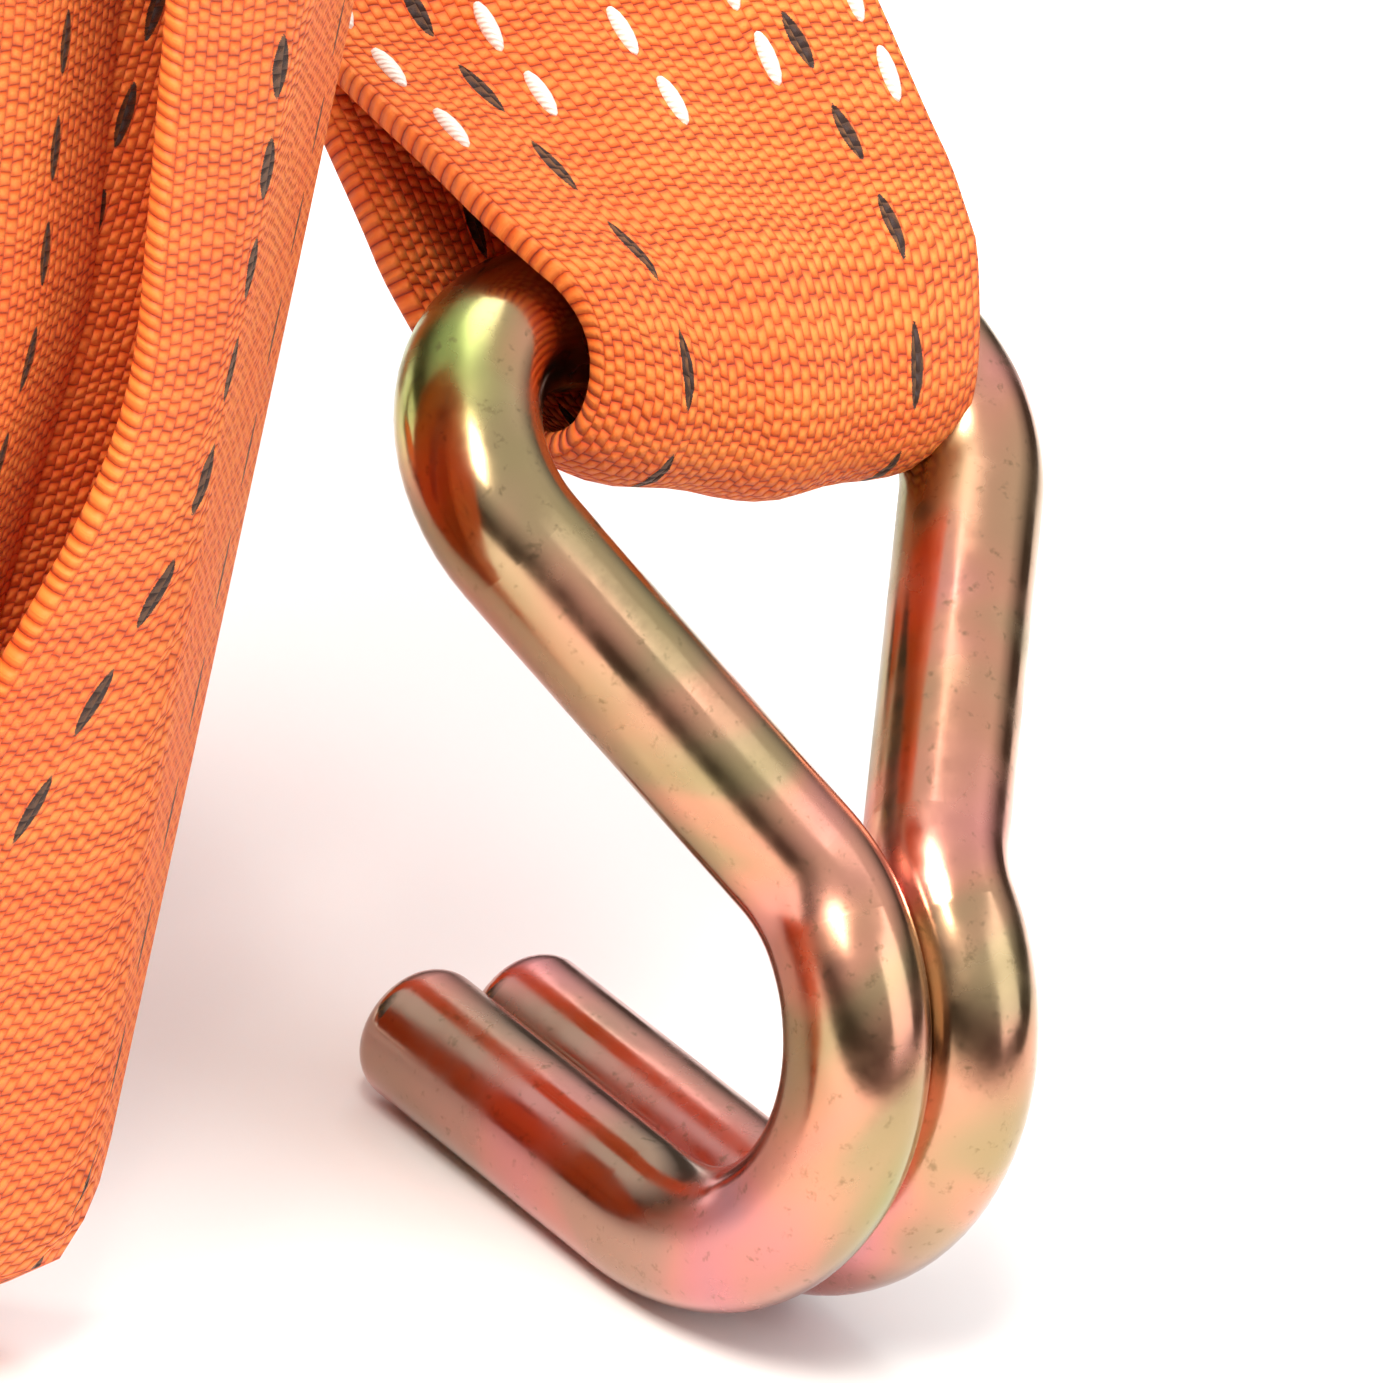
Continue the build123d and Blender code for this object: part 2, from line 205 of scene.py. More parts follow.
# %% Webbing material
WARP_PITCH, WEFT_PITCH = 1.06, 1.15
TRACER_IN, TRACER_PITCH, TRACER_DASH, TRACER_WIDE = 10.0, 8.7, 5.4, 1.5


def math_node(tree, operation, first, second=0.0):
    inputs = {0: first, 1: second}
    return add(tree, "ShaderNodeMath", {"operation": operation}, inputs).outputs[0]


def wave(tree, counted):
    """The height of round ribs, one for each whole number."""
    turned = math_node(tree, "SINE", math_node(tree, "MULTIPLY", counted, math.pi))
    return math_node(tree, "ABSOLUTE", turned)


def woven_orange():
    made, tree, shader = material("woven_orange_polyester", 0.62, 0.0, Sheen_Weight=0.25)
    shader.inputs["Sheen Roughness"].default_value = 0.45
    shader.inputs["Sheen Tint"].default_value = linear("#ffb070")
    uv = add(tree, "ShaderNodeUVMap", {"uv_map": "cloth_mm"})
    axes = add(tree, "ShaderNodeSeparateXYZ", inputs={0: uv.outputs[0]})
    across, along = axes.outputs[0], axes.outputs[1]
    wander = add(tree, "ShaderNodeTexNoise", inputs={
        "Vector": uv.outputs[0], "Scale": 0.22, "Detail": 2.0,
    })
    drift = math_node(tree, "MULTIPLY", math_node(tree, "SUBTRACT", wander.outputs[0], 0.5), 1.6)
    along_bent = math_node(tree, "ADD", along, drift)
    column = math_node(tree, "DIVIDE", across, WARP_PITCH)
    counted = math_node(tree, "FLOOR", math_node(tree, "ADD", column, 400.0))
    odd = math_node(tree, "MODULO", counted, 2.0)
    shift = math_node(tree, "MULTIPLY", odd, 0.32)
    row = math_node(tree, "ADD", math_node(tree, "DIVIDE", along_bent, WEFT_PITCH), shift)
    rib, knuckle = wave(tree, column), wave(tree, row)
    rib_soft = math_node(tree, "POWER", rib, 0.6)
    knuckle_soft = math_node(tree, "POWER", knuckle, 0.7)
    height = math_node(tree, "MULTIPLY", math_node(tree, "ADD", rib_soft, 0.5), knuckle_soft)
    fibre = add(tree, "ShaderNodeTexNoise", inputs={
        "Vector": uv.outputs[0], "Scale": 7.0, "Detail": 3.0,
    })
    height = math_node(tree, "ADD", height, math_node(tree, "MULTIPLY", fibre.outputs[0], 0.25))
    # the slack ripple goes into the bump and, through the colour ramp below, also paints lighter and darker bands
    # as painted reflection
    slack = math_node(tree, "SINE", math_node(tree, "MULTIPLY", along_bent, math.tau / 4.4))
    height = math_node(tree, "ADD", height, math_node(tree, "MULTIPLY", slack, 0.16))
    bump = add(tree, "ShaderNodeBump", inputs={"Strength": 0.8, "Distance": 0.0006, "Height": height})
    tree.links.new(bump.outputs[0], shader.inputs["Normal"])
    # colour from the weave's height: painted shade in the low weave, painted highlight on the raised knuckles and
    # the slack bands
    weave_painted_shading = add(tree, "ShaderNodeValToRGB", inputs={0: math_node(tree, "DIVIDE", height, 1.75)})
    ramp = weave_painted_shading.color_ramp
    ramp.elements[0].position, ramp.elements[0].color = 0.05, linear("#b5300a")
    ramp.elements[1].position, ramp.elements[1].color = 0.85, linear("#ff8e3a")
    mid = ramp.elements.new(0.4)
    mid.color = linear("#f9640f")
    patch = add(tree, "ShaderNodeTexNoise", inputs={
        "Vector": uv.outputs[0], "Scale": 0.06, "Detail": 3.0,
    })
    # random paler patches, multiplied over the painted shade and highlight of the weave
    faded_with_painted_shading = add(tree, "ShaderNodeMix", {"data_type": "RGBA", "blend_type": "MULTIPLY"})
    tint = add(tree, "ShaderNodeValToRGB", inputs={0: patch.outputs[0]})
    tint.color_ramp.elements[0].position, tint.color_ramp.elements[0].color = 0.3, linear("#ffe2d2")
    tint.color_ramp.elements[1].position, tint.color_ramp.elements[1].color = 0.7, linear("#ffffff")
    faded_with_painted_shading.inputs[0].default_value = 1.0
    tree.links.new(weave_painted_shading.outputs[0], faded_with_painted_shading.inputs["A"])
    tree.links.new(tint.outputs[0], faded_with_painted_shading.inputs["B"])
    # tracer: distance from its line, and from the middle of its dash, gives a lozenge
    inset = math_node(tree, "SUBTRACT", math_node(tree, "ABSOLUTE", across), WEB_WIDTH / 2 - TRACER_IN)
    off_line = math_node(tree, "DIVIDE", math_node(tree, "ABSOLUTE", inset), TRACER_WIDE / 2)
    phase = math_node(tree, "MODULO", math_node(tree, "ADD", along, 870.0), TRACER_PITCH)
    from_middle = math_node(tree, "SUBTRACT", phase, TRACER_PITCH / 2)
    off_dash = math_node(tree, "DIVIDE", math_node(tree, "ABSOLUTE", from_middle), TRACER_DASH / 2)
    line_part = math_node(tree, "POWER", off_line, 1.6)
    lozenge = math_node(tree, "ADD", line_part, math_node(tree, "POWER", off_dash, 1.6))
    fray = math_node(tree, "MULTIPLY", math_node(tree, "SUBTRACT", fibre.outputs[0], 0.5), 0.5)
    rough_edge = math_node(tree, "ADD", lozenge, fray)
    dark = math_node(tree, "LESS_THAN", rough_edge, 1.0)
    coloured = add(tree, "ShaderNodeMix", {"data_type": "RGBA"})
    tree.links.new(dark, coloured.inputs[0])
    tree.links.new(faded_with_painted_shading.outputs["Result"], coloured.inputs["A"])
    coloured.inputs["B"].default_value = linear("#2a0f08")
    tree.links.new(coloured.outputs["Result"], shader.inputs["Base Color"])
    return made


webbing_cloth = woven_orange()

# %% [markdown]
# ## A path to wind webbing on
# A strap is a flat grid that is bent along a path. The path is drawn from straight runs and round
# corners in the Y Z plane, and read by its length from the start.

# %% Paths
def rounded(points, radii, step=6):
    """Straight runs with round corners, as close points in Y and Z."""
    corners = [Vector(p) for p in points]
    line = [corners[0]]
    for index, radius in enumerate(radii, start=1):
        before = (corners[index - 1] - corners[index]).normalized()
        after = (corners[index + 1] - corners[index]).normalized()
        half_open = before.angle(after) / 2
        reach = radius / math.tan(half_open)
        centre = corners[index] + (before + after).normalized() * radius / math.sin(half_open)
        first, last = corners[index] + before * reach - centre, corners[index] + after * reach - centre
        sweep = math.pi - 2 * half_open
        for count in range(step + 1):
            share = count / step
            bend = first * math.sin((1 - share) * sweep) + last * math.sin(share * sweep)
            line.append(centre + bend / math.sin(sweep))
    return line + [corners[-1]]


def beside(line, distance):
    """The line moved sideways, to the left of its direction when distance is above zero."""
    moved = []
    for index, point in enumerate(line):
        ahead = line[min(index + 1, len(line) - 1)] - line[max(index - 1, 0)]
        moved.append(point + Vector((-ahead.y, ahead.x)).normalized() * distance)
    return moved


class Path:
    """A line of points that is read by length."""

    def __init__(self, line):
        self.line = [line[0]]
        for point in line[1:]:
            if (point - self.line[-1]).length > 0.05:
                self.line.append(point)
        self.reached = [0.0]
        for here, there in zip(self.line, self.line[1:]):
            self.reached.append(self.reached[-1] + (there - here).length)
        self.length = self.reached[-1]

    def at(self, distance):
        index = min(max(bisect.bisect_right(self.reached, distance) - 1, 0), len(self.line) - 2)
        here, there = self.line[index], self.line[index + 1]
        share = (distance - self.reached[index]) / (self.reached[index + 1] - self.reached[index])
        return here.lerp(there, share)

    def side(self, distance):
        """Left of the direction, smoothed over a few millimetres."""
        ahead = self.at(min(distance + 1.5, self.length)) - self.at(max(distance - 1.5, 0))
        return Vector((-ahead.y, ahead.x)).normalized()


def smooth(value, low, high):
    share = min(max((value - low) / (high - low), 0.0), 1.0)
    return share * share * (3 - 2 * share)


# %% [markdown]
# ## Making the strap
# A bmesh grid has one face per patch of cloth. Its corners first keep where they are across and
# along as UV, and are then moved to the path. A Solidify modifier gives the webbing its thickness and
# a small Bevel rounds the selvedge; both are applied to the mesh.

# %% Strap builder
def finish_mesh(piece):
    """Applies the modifiers, so that the mesh is final."""
    graph = bpy.context.evaluated_depsgraph_get()
    final = bpy.data.meshes.new_from_object(piece.evaluated_get(graph))
    piece.modifiers.clear()
    piece.data = final
    return piece


def strap(name, path, place_point, cell=1.6, across_cells=16):
    """A flat grid moved by place_point(across, along, path), with its cloth size as UV."""
    rows = int(path.length / cell)
    mesh = bmesh.new()
    bmesh.ops.create_grid(mesh, x_segments=across_cells, y_segments=rows, size=1)
    layer = mesh.loops.layers.uv.new("cloth_mm")
    for face in mesh.faces:
        for loop in face.loops:
            x, y = loop.vert.co.x, loop.vert.co.y
            loop[layer].uv = (x * WEB_WIDTH / 2, (y + 1) / 2 * path.length)
    for vert in mesh.verts:
        vert.co = place_point(vert.co.x * WEB_WIDTH / 2, (vert.co.y + 1) / 2 * path.length, path) * MM
    bmesh.ops.recalc_face_normals(mesh, faces=mesh.faces)
    data = bpy.data.meshes.new(name)
    mesh.to_mesh(data)
    mesh.free()
    piece = bpy.data.objects.new(name, data)
    bpy.context.scene.collection.objects.link(piece)
    data.materials.append(webbing_cloth)
    for face in data.polygons:
        face.use_smooth = True
    wall = piece.modifiers.new("thickness", "SOLIDIFY")
    wall.thickness, wall.offset = WEB_THICK * MM, 0.0
    edge = piece.modifiers.new("selvedge", "BEVEL")
    edge.width, edge.segments, edge.limit_method = 0.7 * MM, 2, "ANGLE"
    edge.angle_limit = math.radians(50)
    return finish_mesh(piece)


# %% [markdown]
# ## Short strap
# One length of webbing. It starts under the lap, goes round the hook's bar, comes back on top, arches
# over to the ratchet, goes round the bolt's sleeve and ends in a second lap. The loop at the bar is
# narrower than the strap, because the round corners of the eye push the selvedges in, and it hangs a
# little below the bar.

# %% Short strap
LOOP_LENGTH, LOOP_R, LOOP_FOOT = 25.0, 8.0, 11.5
LOOP_TWIST = math.radians(17)
SHORT_SQUEEZE, LONG_SQUEEZE = 0.21, 0.24      # how much narrower each loop is at the bar
HALF_WEB = WEB_WIDTH / 2
HOOK_LAP, BOLT_LAP = 112.0, 62.0


def flat(spot):
    """A place seen along X, as Y and Z."""
    return Vector((spot.y, spot.z))


bar_flat, along_flat, front_flat = flat(short_bar), flat(along_strap), flat(front_side)
bolt_flat = flat(bolt)
# up the hook's lean to the shoulder, down the far side of the arch, and level into the ratchet
SHOULDER, ARCH_FOOT, LEVEL_FROM, LEVEL_TO = 84, (141, 50), (177, 17), (-19, 0)
ARCH_RADII = (44, 46, 40)
strap_route = [
    bar_flat + along_flat * LOOP_LENGTH, bar_flat + along_flat * SHOULDER,
    Vector((bar_flat.x + ARCH_FOOT[0], ARCH_FOOT[1])),
    Vector((bar_flat.x + LEVEL_FROM[0], LEVEL_FROM[1])),
    bolt_flat + Vector(LEVEL_TO),
]
strap_middle = rounded(strap_route, ARCH_RADII, step=14)


def oval_loop(centre, out, side, reach_side, reach_down):
    """Half an oval: from the under side, round the foot, to the top side."""
    turns = [math.radians(degrees) for degrees in range(0, 181, 9)]
    return [
        centre - side * reach_side * math.cos(turn) - out * reach_down * math.sin(turn)
        for turn in turns
    ]


upper = beside(strap_middle, LAYER)
lower = beside(strap_middle, -LAYER)
lower_lap = Path(lower)
under = [lower_lap.at(d) for d in range(0, int(HOOK_LAP), 3)][::-1]
bar_turn = oval_loop(bar_flat, along_flat, front_flat, LOOP_R, LOOP_FOOT)
SLEEVE_LOOP_R = 8.5
sleeve_turn = [
    bolt_flat + Vector((math.cos(math.radians(a)), math.sin(math.radians(a)))) * SLEEVE_LOOP_R
    for a in range(115, -116, -10)
]
end_lap = [lower_lap.at(lower_lap.length - d) for d in range(0, int(BOLT_LAP), 3)]
short_path = Path(under + bar_turn + upper + sleeve_turn + end_lap)
print("short strap length", round(short_path.length))


def place_short(across, along, path):
    """Webbing on the short path: narrow and cupped under the bar, turned a little above it."""
    point = path.at(along)
    side = path.side(along)
    from_bar = point - bar_flat
    up_strap = from_bar.dot(along_flat)
    near = 1 - smooth((point - bar_flat).length, 60, 120)
    narrow = 1 - SHORT_SQUEEZE * (1 - smooth(up_strap, -9, 9))
    foot = 1 - smooth(up_strap, -8, 2)
    shift = (3.6 - 0.10 * max(up_strap, 0)) * near
    twist = LOOP_TWIST * smooth(up_strap, 2, 34) * near
    level = across * narrow
    x = short_bar.x + shift + level * math.cos(twist)
    lift = across * math.sin(twist)
    cup = 3.4 * (1 - (across / HALF_WEB) ** 2) * foot
    selvedge = 0.5 * foot * (across / HALF_WEB)
    spot = Vector((x, point.x, point.y)) + front_side * lift - along_strap * (cup + 3.0 * selvedge)
    ripple = 0.35 * math.sin(across * 0.33 + along * 0.05) * near
    return spot + Vector((0, side.x, side.y)) * ripple


short_webbing = strap("short_strap_webbing", short_path, place_short)
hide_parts("short_strap")
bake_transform(short_webbing)

# %% [markdown]
# ## Long strap
# The long strap is wound on itself. The turns are one spiral of webbing inside a tall rounded shape,
# from the middle outwards. The last but one turn has slipped to the left, and the outermost one is
# loose: at the front it slants and its right side folds back. It leaves at the back, comes down to the
# floor and ends in a loop on its own hook.

# %% Wound turns
TURNS, TURN_PITCH = 13, 2.72
FOOT_R, TOP_R, LEAST_R = 14.0, 40.0, 4.0
WAIST = 83.0                 # height at which the loose turn is furthest in
ONE_TURN = 430.0             # length of an outer turn, near enough to tell the turns apart
SLIP = 17.0                  # how far the turn below the outermost has slipped to the left
OUTER_SLACK, INNER_SLACK = 6.5, 4.0           # how far the two stand off the hank at the front
LAST_CREASE, FLAP_TURN = 42.0, math.radians(41)
INNER_CREASE, INNER_TURN, INNER_REACH = 36.0, math.radians(27), 44.3
hank_mid = (hank_low + hank_high) / 2
half_deep = (hank_high.y - hank_low.y - WEB_THICK - 0.1) / 2
half_tall = (hank_high.z - hank_low.z - WEB_THICK - 0.1) / 2


def wound_line():
    """The spiral, in Y and Z: up the front, over the top, down the back, from the inside out."""
    line = []
    for turn_index in range(TURNS):
        for corner, (side_y, side_z, radius) in enumerate(
            ((-1, -1, FOOT_R), (-1, 1, TOP_R), (1, 1, TOP_R), (1, -1, FOOT_R))
        ):
            start = 270 - 90 * corner
            for count in range(7):
                share = (turn_index * 4 + corner + count / 6) / (TURNS * 4)
                inward = (1 - share) * TURNS * TURN_PITCH
                bend_r = max(radius - inward, LEAST_R)
                angle = math.radians(start - 90 * count / 6)
                y = side_y * (half_deep - inward - bend_r) + bend_r * math.cos(angle)
                z = side_z * (half_tall - inward - bend_r) + bend_r * math.sin(angle)
                line.append(Vector((hank_mid.y + y, hank_mid.z + z)))
    return line


spiral = wound_line()
LAP = 60.0
lap_z = long_bar.z
back_y = hank_high.y + 1.6
tail_route = [
    Vector((back_y, 110)), Vector((back_y + 1, 26)), Vector((back_y + 20, lap_z)),
    Vector((long_bar.y - LOOP_LENGTH, lap_z)),
]
tail_middle = rounded(tail_route, [22, 22], step=10)
tail_upper, tail_lower = beside(tail_middle, LAYER), Path(beside(tail_middle, -LAYER)[::-1])
long_turn = oval_loop(
    Vector((long_bar.y, lap_z)), Vector((-1, 0)), Vector((0, -1)), LOOP_R, LOOP_FOOT,
)
under_long = [tail_lower.at(d) for d in range(0, int(LAP), 3)]
leave = len(spiral) - 9
long_path = Path(spiral[:leave] + tail_upper + long_turn + under_long)
hank_share = Path(spiral[:leave]).length
print("long strap length", round(long_path.length), "of which wound", round(hank_share))


def folded(from_left, crease, angle, bend=5.0):
    """How far right and how far back a point lies when the cloth folds back past its crease."""
    flat_run = min(from_left, crease - bend / 2)
    turned = min(max(from_left - flat_run, 0.0), bend)
    rest = max(from_left - flat_run - bend, 0.0)
    part = angle * turned / bend
    rightward = flat_run + bend / angle * math.sin(part) + rest * math.cos(angle)
    return rightward, bend / angle * (1 - math.cos(part)) + rest * math.sin(angle)


def eased(value, corner=10.0):
    """Zero below the corner, the value above it, and a round bend between them."""
    if abs(value) < corner:
        return (value + corner) ** 2 / (4 * corner)
    return max(value, 0.0)


def loose_edge(height):
    """X of the outer turn's left edge at the front: in at the middle, out above and below."""
    return hank_mid.x + 14.9 - 0.343 * eased(WAIST - height) - 0.25 * eased(height - WAIST)


def place_long(across, along, path):
    """Webbing on the long path: wound, with two slack turns, then down to its own hook."""
    point = path.at(along)
    side = path.side(along)
    wound_left = hank_share - along
    x = hank_mid.x + across
    spot = Vector((x, point.x, point.y))
    if wound_left > 0:
        wobble = 0.5 * math.sin(along / 97.0) + 0.3 * math.sin(along / 41.0)
        slipped = smooth(wound_left, ONE_TURN * 0.75, ONE_TURN)
        slipped *= 1 - smooth(wound_left, ONE_TURN * 1.9, ONE_TURN * 2.2)
        spot.x += wobble - SLIP * slipped
        front = 1 - smooth(point.x, hank_low.y + 4, hank_low.y + 16)
        height, from_left = point.y, across + HALF_WEB
        if wound_left < ONE_TURN * 0.75 and front > 0:
            crease = 6.2 + 0.5 * eased(WAIST - height) + 0.16 * eased(height - WAIST)
            rightward, backward = folded(from_left, min(crease, LAST_CREASE), FLAP_TURN)
            loose = Vector((loose_edge(height) + rightward, point.x - OUTER_SLACK + backward, height))
            spot = spot.lerp(loose, front)
        elif slipped > 0 and front > 0:
            rightward, backward = folded(from_left, INNER_CREASE, INNER_TURN)
            slack_x = loose_edge(max(height, WAIST)) - INNER_REACH + rightward
            loose = Vector((slack_x, point.x - INNER_SLACK + backward, height))
            spot = spot.lerp(loose, front * slipped)
    else:
        to_bar = path.length - LAP - 17 - along
        near = 1 - smooth(abs(to_bar), 6, 26)
        spot.x = hank_mid.x + across * (1 - LONG_SQUEEZE * near)
        spot += Vector((0, side.x, side.y)) * 0.3 * math.sin(across * 0.3 + along * 0.05)
    return spot


long_webbing = strap("long_strap_webbing", long_path, place_long, cell=3.2, across_cells=14)
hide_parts("long_strap_wound", "long_strap_end")
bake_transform(long_webbing)

# %% [markdown]
# ## Stitching
# The laps are sewn with thick white thread in rows along the strap. Each stitch that shows is a short
# fat grain, sunk a little into the cloth: a sphere with few faces, pulled long.

# %% Stitches
def thread_material():
    made, tree, shader = material("white_polyester_thread", 0.55, 0.0, "#f3e9dc", Sheen_Weight=0.3)
    where = add(tree, "ShaderNodeTexCoord")
    twist = add(tree, "ShaderNodeTexWave", {"bands_direction": "DIAGONAL"},
                {"Vector": where.outputs["Object"], "Scale": 900.0, "Distortion": 1.0})
    bump = add(tree, "ShaderNodeBump", inputs={
        "Strength": 0.5, "Distance": 0.0002, "Height": twist.outputs[0],
    })
    tree.links.new(bump.outputs[0], shader.inputs["Normal"])
    return made


thread = thread_material()
STITCH_LONG, STITCH_THICK, STITCH_PITCH, STITCH_SLANT = 5.0, 1.5, 7.2, 0.6
ROWS = (-22.0, -11.0, 0.0, 11.0, 22.0)


def sew(name, path, place_point, runs, body, lift=1.15):
    """White stitches in rows along the strap, on its outer side, over each run."""
    mesh = bmesh.new()
    for (first, last), (row_index, across) in itertools.product(runs, enumerate(ROWS)):
        along = first + (row_index % 2) * STITCH_PITCH * 0.35
        while along + STITCH_LONG < last:
            start = place_point(across, along, path)
            end = place_point(across + STITCH_SLANT, along + STITCH_LONG, path)
            side = path.side(along + STITCH_LONG / 2)
            rise = Vector((0, side.x, side.y)) * lift
            run = (end - start).normalized()
            turn_to = run.to_track_quat("Z", "Y").to_matrix().to_4x4()
            ball = bmesh.ops.create_uvsphere(mesh, u_segments=8, v_segments=7, radius=0.5)["verts"]
            for vert in ball:
                vert.co.x *= STITCH_THICK
                vert.co.y *= STITCH_THICK
                vert.co.z *= STITCH_LONG
            bmesh.ops.transform(mesh, matrix=turn_to, verts=ball)
            bmesh.ops.translate(mesh, vec=(start + end) / 2 + rise, verts=ball)
            along += STITCH_PITCH
    bmesh.ops.scale(mesh, vec=(MM, MM, MM), verts=mesh.verts)
    data = bpy.data.meshes.new(name)
    mesh.to_mesh(data)
    mesh.free()
    data.materials.append(thread)
    for face in data.polygons:
        face.use_smooth = True
    piece = bpy.data.objects.new(name, data)
    bpy.context.scene.collection.objects.link(piece)
    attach(piece, body)
    print(name, "faces", len(data.polygons))
SEAM_GAP = 13.0              # the loop's neck to the first stitch
top_start = Path(under + bar_turn).length
top_end = Path(under + bar_turn + upper).length
long_end = Path(spiral[:leave] + tail_upper).length
sew("short_strap_stitching", short_path, place_short, (
    (top_start + SEAM_GAP, top_start + HOOK_LAP - 4),
    (4, HOOK_LAP - SEAM_GAP),
    (top_end - BOLT_LAP + 14, top_end - 6),
    (short_path.length - BOLT_LAP + 6, short_path.length - 14),
), "ratchet_frame")
sew("long_strap_stitching", long_path, place_long, (
    (long_end - LAP + 4, long_end - SEAM_GAP),
    (long_path.length - LAP + SEAM_GAP, long_path.length - 4),
), "long_strap")

# %% [markdown]
# ## Yellow passivated zinc wire
# The hooks are bent from round steel wire, zinc plated and dipped in yellow chromate. The film is so
# thin that it shows interference colours: olive and gold, salmon pink and a little green, in long soft
# patches. Handling leaves fine speckles and dull scuffs.

# %% Hook finish
FILM = (
    (0.30, "#7d8a4e"), (0.40, "#9a8c62"), (0.48, "#a98f6c"), (0.55, "#c98f74"),
    (0.63, "#d08a80"), (0.74, "#b98a8f"),
)


def blend_colour(tree, share, below, hex_colour):
    """A socket's colour with another laid over it by a share."""
    over = add(tree, "ShaderNodeMix", {"data_type": "RGBA"})
    tree.links.new(share, over.inputs[0])
    tree.links.new(below, over.inputs["A"])
    over.inputs["B"].default_value = linear(hex_colour)
    return over.outputs["Result"]


def passivated_wire(name, bar):
    """The chromate film, with green near the two upper bends and a rose tint low down."""
    made, tree, shader = material(name, 0.2, 1.0)
    where = add(tree, "ShaderNodeTexCoord").outputs["Object"]
    drift = add(tree, "ShaderNodeTexNoise", inputs={
        "Vector": where, "Scale": 30.0, "Detail": 2.0, "Roughness": 0.4, "Distortion": 1.2,
    })
    film = add(tree, "ShaderNodeValToRGB", inputs={0: drift.outputs[0]})
    ramp = film.color_ramp
    ramp.elements[0].position, ramp.elements[0].color = FILM[0][0], linear(FILM[0][1])
    ramp.elements[1].position, ramp.elements[1].color = FILM[-1][0], linear(FILM[-1][1])
    for position, colour in FILM[1:-1]:
        ramp.elements.new(position).color = linear(colour)
    tinted = film.outputs[0]
    for side in (-1, 1):
        bend = (bar + Vector((side * 33.0, 0, 0))) * MM
        reach = add(tree, "ShaderNodeVectorMath", {"operation": "DISTANCE"}, {0: where, 1: bend})
        near = add(tree, "ShaderNodeMapRange", {"interpolation_type": "SMOOTHSTEP"}, {
            "Value": reach.outputs["Value"], "From Min": 0.006, "From Max": 0.014,
            "To Min": 0.75, "To Max": 0.0,
        })
        tinted = blend_colour(tree, near.outputs[0], tinted, "#86a04c")
    height = add(tree, "ShaderNodeSeparateXYZ", inputs={0: where}).outputs[2]
    low = add(tree, "ShaderNodeMapRange", {"interpolation_type": "SMOOTHSTEP"}, {
        "Value": height, "From Min": 0.006, "From Max": 0.022, "To Min": 0.3, "To Max": 0.0,
    })
    tinted = blend_colour(tree, low.outputs[0], tinted, "#c08096")
    speck = add(tree, "ShaderNodeTexNoise", inputs={
        "Vector": where, "Scale": 800.0, "Detail": 3.0, "Roughness": 0.65,
    })
    spots = add(tree, "ShaderNodeMapRange", inputs={
        "Value": speck.outputs[0], "From Min": 0.27, "From Max": 0.4, "To Min": 0.5, "To Max": 0.0,
    })
    tinted = blend_colour(tree, spots.outputs[0], tinted, "#6b5a3c")
    tree.links.new(tinted, shader.inputs["Base Color"])
    scuff = add(tree, "ShaderNodeTexNoise", inputs={"Vector": where, "Scale": 150.0, "Detail": 5.0})
    dull = add(tree, "ShaderNodeMapRange", inputs={
        "Value": scuff.outputs[0], "From Min": 0.4, "From Max": 0.7, "To Min": 0.14, "To Max": 0.34,
    })
    tree.links.new(dull.outputs[0], shader.inputs["Roughness"])
    bump = add(tree, "ShaderNodeBump", inputs={
        "Strength": 0.1, "Distance": 0.0003, "Height": scuff.outputs[0],
    })
    tree.links.new(bump.outputs[0], shader.inputs["Normal"])
    return made


def dress(node, finish):
    """Gives a CAD node its finish."""
    data = frame["nodes"][node].data
    data.materials.clear()
    data.materials.append(finish)


dress("short_strap_hook", passivated_wire("yellow_passivated_zinc", short_bar))
dress("long_strap_hook", passivated_wire("yellow_passivated_zinc_lying", long_bar))

# %% [markdown]
# ## Ratchet metals and grip
# The channel and handle plates are pressed from zinc plated sheet, with a fine cloudy grain. The
# wheels and pawls are hardened and darker. Turned parts are brighter, with a finer grain. The grip is
# moulded plastic with a fine spark grain.

# %% Ratchet finishes
def plain_metal(name, colour, roughness, grain_scale, spread):
    made, tree, shader = material(name, roughness, 1.0, colour)
    where = add(tree, "ShaderNodeTexCoord").outputs["Object"]
    grain = add(tree, "ShaderNodeTexNoise", inputs={
        "Vector": where, "Scale": grain_scale, "Detail": 6.0, "Roughness": 0.65,
    })
    rough = add(tree, "ShaderNodeMapRange", inputs={
        "Value": grain.outputs[0], "To Min": roughness - spread, "To Max": roughness + spread,
    })
    tree.links.new(rough.outputs[0], shader.inputs["Roughness"])
    cloud = add(tree, "ShaderNodeTexNoise", inputs={"Vector": where, "Scale": 45.0, "Detail": 3.0})
    tone = add(tree, "ShaderNodeValToRGB", inputs={0: cloud.outputs[0]})
    light = linear(colour)
    tone.color_ramp.elements[0].position = 0.3
    tone.color_ramp.elements[0].color = [c * 0.72 for c in light[:3]] + [1]
    tone.color_ramp.elements[1].position, tone.color_ramp.elements[1].color = 0.65, light
    tree.links.new(tone.outputs[0], shader.inputs["Base Color"])
    bump = add(tree, "ShaderNodeBump", inputs={
        "Strength": 0.1, "Distance": 0.0003, "Height": grain.outputs[0],
    })
    tree.links.new(bump.outputs[0], shader.inputs["Normal"])
    return made


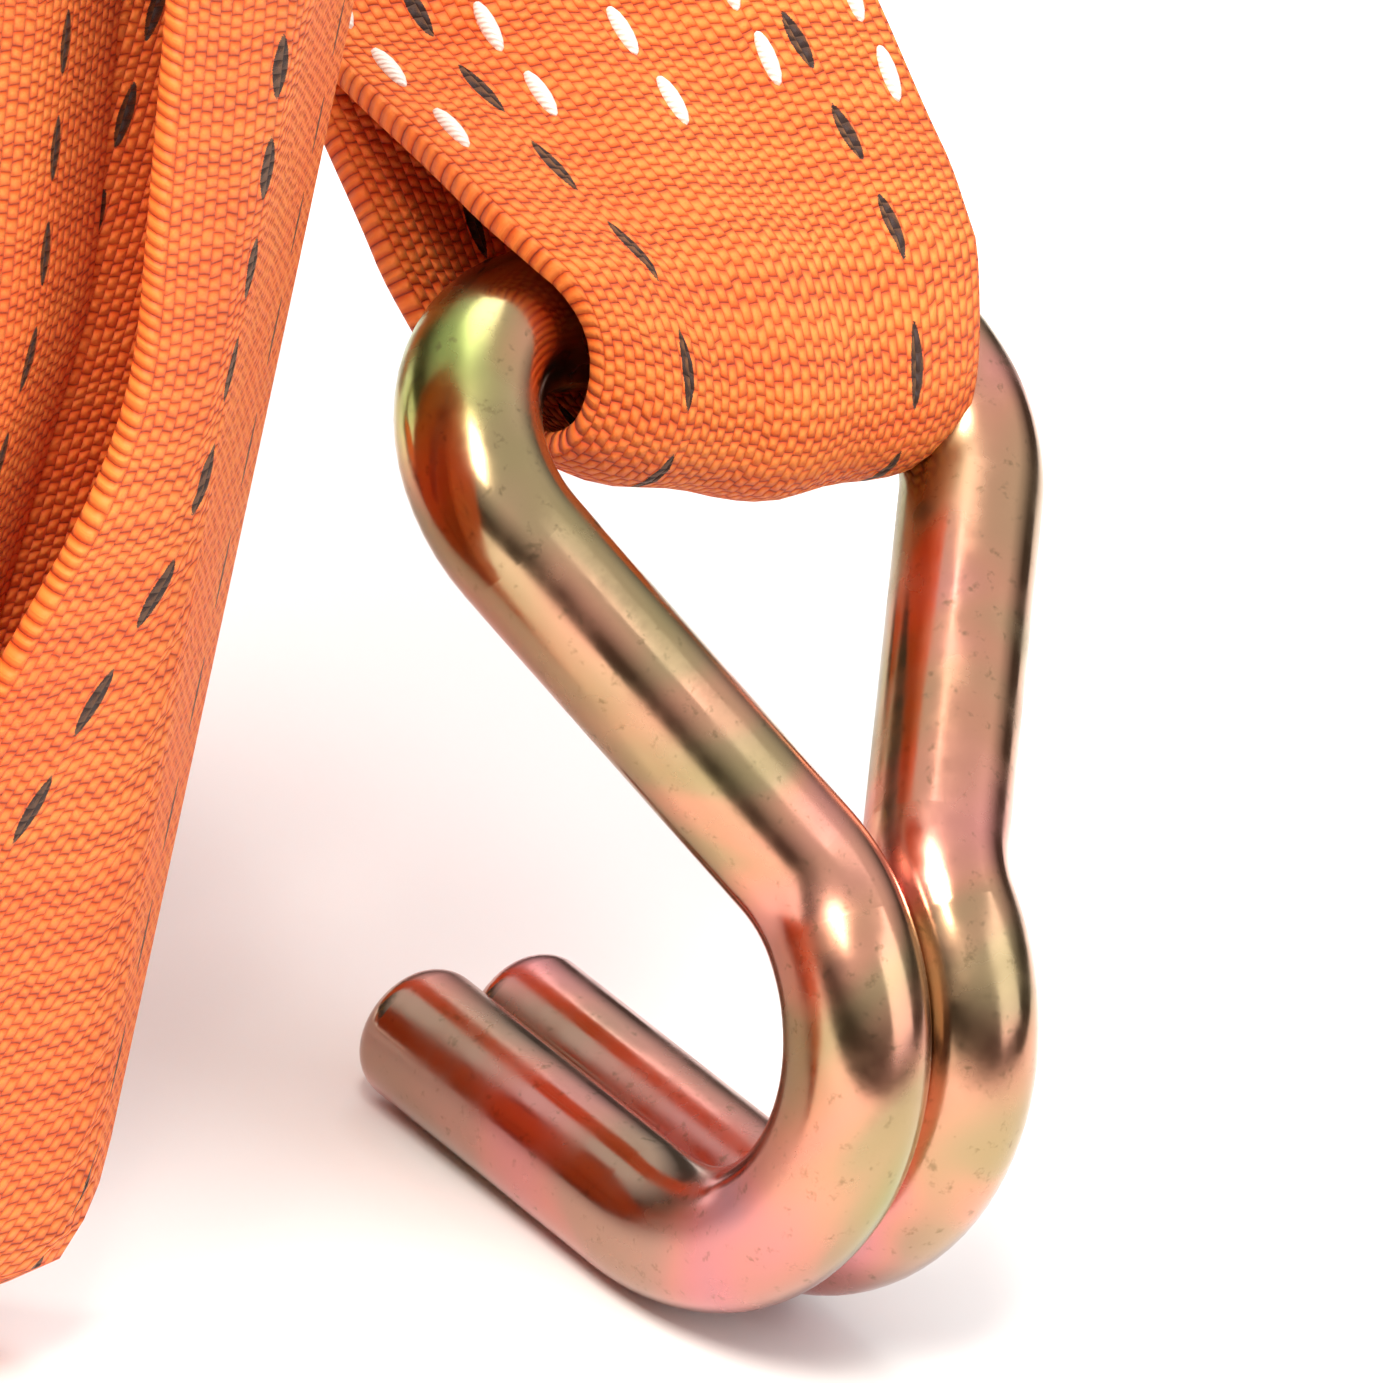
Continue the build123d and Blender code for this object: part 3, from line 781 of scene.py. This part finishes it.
finishes = {
    "zinc_sheet": plain_metal("zinc_plated_pressed_sheet", "#b9b39c", 0.34, 260.0, 0.1),
    "zinc_turned": plain_metal("zinc_plated_turned_steel", "#c4bfae", 0.26, 500.0, 0.07),
    "hardened_steel": plain_metal("hardened_stamped_steel", "#8b8a86", 0.38, 320.0, 0.1),
}
grip_finish, grip_tree, grip_shader = material("moulded_black_grip", 0.55, 0.0, "#17181a")
grip_where = add(grip_tree, "ShaderNodeTexCoord").outputs["Object"]
grip_grain = add(grip_tree, "ShaderNodeTexNoise", inputs={
    "Vector": grip_where, "Scale": 1400.0, "Detail": 2.0,
})
grip_bump = add(grip_tree, "ShaderNodeBump", inputs={
    "Strength": 0.35, "Distance": 0.0002, "Height": grip_grain.outputs[0],
})
grip_tree.links.new(grip_bump.outputs[0], grip_shader.inputs["Normal"])
finishes["grip_plastic"] = grip_finish
for subpart in frame["record"]["subparts"]:
    if subpart["material_slot"] in finishes:
        dress(subpart["node"], finishes[subpart["material_slot"]])

# %% [markdown]
# ## Coil springs
# The model has a plain tube for each pawl's spring. A real one is wire wound on a mandrel. A small
# ring of vertices is spun about the spring's axis while it moves along it, which makes the coil.

# %% Springs
spring_finish = plain_metal("drawn_spring_wire", "#a9a9a6", 0.22, 700.0, 0.05)
WIRE_R = 0.7


def coil(name, start, end, radius, turns, node):
    """A helix of round wire that starts on the pawl, ends on the body and is pressed between them."""
    run = end - start
    axis = run.normalized()
    out = axis.cross(Vector((1, 0, 0))).normalized()
    mesh = bmesh.new()
    ring = bmesh.ops.create_circle(mesh, segments=10, radius=WIRE_R, cap_ends=True)
    tangent = axis.cross(out)
    face_to = tangent.to_track_quat("Z", "Y").to_matrix().to_4x4()
    bmesh.ops.transform(mesh, matrix=face_to, verts=ring["verts"])
    bmesh.ops.translate(mesh, vec=out * radius + axis * WIRE_R, verts=ring["verts"])
    steps = turns * 24
    bmesh.ops.spin(
        mesh, geom=mesh.faces[:] + mesh.edges[:] + mesh.verts[:], cent=(0, 0, 0), axis=axis,
        dvec=axis * (run.length - 2 * WIRE_R) / steps, angle=math.tau * turns, steps=steps,
    )
    bmesh.ops.recalc_face_normals(mesh, faces=mesh.faces)
    bmesh.ops.translate(mesh, vec=start, verts=mesh.verts)
    bmesh.ops.scale(mesh, vec=(MM, MM, MM), verts=mesh.verts)
    data = bpy.data.meshes.new(name)
    mesh.to_mesh(data)
    mesh.free()
    data.materials.append(spring_finish)
    for face in data.polygons:
        face.use_smooth = True
    piece = bpy.data.objects.new(name, data)
    bpy.context.scene.collection.objects.link(piece)
    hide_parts(node)
    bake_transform(piece)


pawl_out = Vector((0, math.cos(math.radians(150)), math.sin(math.radians(150))))
coil(
    "drive_pawl_coil", mandrel + pawl_out * 41.2, mandrel + pawl_out * 58.4, 6.4, 6,
    "drive_pawl_spring",
)
coil(
    "lock_pawl_coil", mandrel + Vector((0, -43.6, 0)), mandrel + Vector((0, -76.3, 0)), 4.4, 9,
    "lock_pawl_spring",
)
